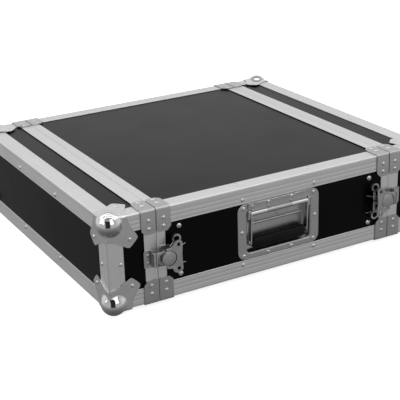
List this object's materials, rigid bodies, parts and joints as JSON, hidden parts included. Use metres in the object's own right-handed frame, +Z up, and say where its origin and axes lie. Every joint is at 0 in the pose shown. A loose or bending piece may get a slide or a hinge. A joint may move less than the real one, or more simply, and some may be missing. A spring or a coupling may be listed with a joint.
{
  "type": "equipment rack case",
  "caption": "Rack-mount flight case with laminated ply panels, aluminium edges, ball corners, butterfly latches, sprung side handles and lift-off front and rear lids.",
  "frame": {"origin": "on the surface the case stands on, under the middle of the case", "axes": "+Z up, +Y from the front lid to the rear lid along the rack's depth, +X across the rack to the right-hand handle"},
  "size_m": [0.5614, 0.6182, 0.1676],
  "materials": {
    "black_laminate": "black laminate over birch ply, fine grained, satin",
    "aluminium_extrusion": "mill finish extrusion, drawn lines and shallow ribs, satin",
    "chromed_steel": "bright chrome plate",
    "zinc_plated_steel": "bright zinc plate, lightly worn",
    "black_painted_steel": "black powder coat",
    "black_rubber": "moulded, matt"
  },
  "bodies": {
    "case_body": {"top_panel": "black_laminate", "bottom_panel": "black_laminate", "left_side_panel": "black_laminate", "right_side_panel": "black_laminate", "top_left_edge_angle": "aluminium_extrusion", "top_right_edge_angle": "aluminium_extrusion", "bottom_left_edge_angle": "aluminium_extrusion", "bottom_right_edge_angle": "aluminium_extrusion", "front_body_locking_frame": "aluminium_extrusion", "rear_body_locking_frame": "aluminium_extrusion", "front_left_rack_rail": "black_painted_steel", "front_right_rack_rail": "black_painted_steel", "rear_left_rack_rail": "black_painted_steel", "rear_right_rack_rail": "black_painted_steel", "front_left_latch_base": "zinc_plated_steel", "front_right_latch_base": "zinc_plated_steel", "rear_left_latch_base": "zinc_plated_steel", "rear_right_latch_base": "zinc_plated_steel", "left_handle_dish": "zinc_plated_steel", "left_handle_hinge_leaf": "zinc_plated_steel", "left_handle_hinge_pin": "zinc_plated_steel", "right_handle_dish": "zinc_plated_steel", "right_handle_hinge_leaf": "zinc_plated_steel", "right_handle_hinge_pin": "zinc_plated_steel"},
    "front_lid": {"front_lid_face_panel": "black_laminate", "front_lid_rim": "black_laminate", "front_lid_locking_frame": "aluminium_extrusion", "front_lid_edge_angles": "aluminium_extrusion", "front_top_left_ball_corner": "chromed_steel", "front_top_right_ball_corner": "chromed_steel", "front_bottom_left_ball_corner": "chromed_steel", "front_bottom_right_ball_corner": "chromed_steel", "front_left_latch_keeper": "zinc_plated_steel", "front_right_latch_keeper": "zinc_plated_steel"},
    "rear_lid": {"rear_lid_face_panel": "black_laminate", "rear_lid_rim": "black_laminate", "rear_lid_locking_frame": "aluminium_extrusion", "rear_lid_edge_angles": "aluminium_extrusion", "rear_top_left_ball_corner": "chromed_steel", "rear_top_right_ball_corner": "chromed_steel", "rear_bottom_left_ball_corner": "chromed_steel", "rear_bottom_right_ball_corner": "chromed_steel", "rear_left_latch_keeper": "zinc_plated_steel", "rear_right_latch_keeper": "zinc_plated_steel"},
    "front_left_latch_hook": {"front_left_latch_hook": "zinc_plated_steel"},
    "front_left_latch_hub": {"front_left_latch_hub": "zinc_plated_steel"},
    "front_left_latch_wing": {"front_left_latch_wing": "zinc_plated_steel"},
    "front_right_latch_hook": {"front_right_latch_hook": "zinc_plated_steel"},
    "front_right_latch_hub": {"front_right_latch_hub": "zinc_plated_steel"},
    "front_right_latch_wing": {"front_right_latch_wing": "zinc_plated_steel"},
    "rear_left_latch_hook": {"rear_left_latch_hook": "zinc_plated_steel"},
    "rear_left_latch_hub": {"rear_left_latch_hub": "zinc_plated_steel"},
    "rear_left_latch_wing": {"rear_left_latch_wing": "zinc_plated_steel"},
    "rear_right_latch_hook": {"rear_right_latch_hook": "zinc_plated_steel"},
    "rear_right_latch_hub": {"rear_right_latch_hub": "zinc_plated_steel"},
    "rear_right_latch_wing": {"rear_right_latch_wing": "zinc_plated_steel"},
    "left_handle_bail": {"left_handle_bail": "chromed_steel", "left_handle_grip": "black_rubber"},
    "right_handle_bail": {"right_handle_bail": "chromed_steel", "right_handle_grip": "black_rubber"}
  },
  "joints": [
    {"name": "front_lid_slide", "type": "slide", "parent": "case_body", "child": "front_lid", "axis": [0, -1, 0], "range_m": [0, 0.25]},
    {"name": "rear_lid_slide", "type": "slide", "parent": "case_body", "child": "rear_lid", "axis": [0, 1, 0], "range_m": [0, 0.25]},
    {"name": "front_left_latch_twist", "type": "hinge", "parent": "case_body", "child": "front_left_latch_hub", "pos_m": [-0.2635, -0.206, 0.0818], "axis": [1, 0, 0], "range_deg": [0, 180]},
    {"name": "front_left_latch_draw", "type": "slide", "parent": "case_body", "child": "front_left_latch_hook", "axis": [0, -1, 0], "range_m": [0, 0.005]},
    {"name": "front_left_latch_fold", "type": "hinge", "parent": "front_left_latch_hub", "child": "front_left_latch_wing", "pos_m": [-0.279, -0.209, 0.0818], "axis": [0, 0, 1], "range_deg": [0, 90]},
    {"name": "front_right_latch_twist", "type": "hinge", "parent": "case_body", "child": "front_right_latch_hub", "pos_m": [0.2635, -0.206, 0.0818], "axis": [1, 0, 0], "range_deg": [0, 180]},
    {"name": "front_right_latch_draw", "type": "slide", "parent": "case_body", "child": "front_right_latch_hook", "axis": [0, -1, 0], "range_m": [0, 0.005]},
    {"name": "front_right_latch_fold", "type": "hinge", "parent": "front_right_latch_hub", "child": "front_right_latch_wing", "pos_m": [0.279, -0.209, 0.0818], "axis": [0, 0, -1], "range_deg": [0, 90]},
    {"name": "rear_left_latch_twist", "type": "hinge", "parent": "case_body", "child": "rear_left_latch_hub", "pos_m": [-0.2635, 0.206, 0.0818], "axis": [1, 0, 0], "range_deg": [0, 180]},
    {"name": "rear_left_latch_draw", "type": "slide", "parent": "case_body", "child": "rear_left_latch_hook", "axis": [0, 1, 0], "range_m": [0, 0.005]},
    {"name": "rear_left_latch_fold", "type": "hinge", "parent": "rear_left_latch_hub", "child": "rear_left_latch_wing", "pos_m": [-0.279, 0.209, 0.0818], "axis": [0, 0, -1], "range_deg": [0, 90]},
    {"name": "rear_right_latch_twist", "type": "hinge", "parent": "case_body", "child": "rear_right_latch_hub", "pos_m": [0.2635, 0.206, 0.0818], "axis": [1, 0, 0], "range_deg": [0, 180]},
    {"name": "rear_right_latch_draw", "type": "slide", "parent": "case_body", "child": "rear_right_latch_hook", "axis": [0, 1, 0], "range_m": [0, 0.005]},
    {"name": "rear_right_latch_fold", "type": "hinge", "parent": "rear_right_latch_hub", "child": "rear_right_latch_wing", "pos_m": [0.279, 0.209, 0.0818], "axis": [0, 0, 1], "range_deg": [0, 90]},
    {"name": "left_handle_swing", "type": "hinge", "parent": "case_body", "child": "left_handle_bail", "pos_m": [-0.2645, 0, 0.1128], "axis": [0, 1, 0], "range_deg": [0, 90], "stiffness_Nm_per_rad": 0.15, "springref_deg": -34.38},
    {"name": "right_handle_swing", "type": "hinge", "parent": "case_body", "child": "right_handle_bail", "pos_m": [0.2645, 0, 0.1128], "axis": [0, -1, 0], "range_deg": [0, 90], "stiffness_Nm_per_rad": 0.15, "springref_deg": -34.38}
  ],
  "couplings": [
    {"joint": "front_left_latch_draw", "follows": "front_left_latch_twist", "m_per_rad": 0.00159},
    {"joint": "front_right_latch_draw", "follows": "front_right_latch_twist", "m_per_rad": 0.00159},
    {"joint": "rear_left_latch_draw", "follows": "rear_left_latch_twist", "m_per_rad": 0.00159},
    {"joint": "rear_right_latch_draw", "follows": "rear_right_latch_twist", "m_per_rad": 0.00159}
  ]
}
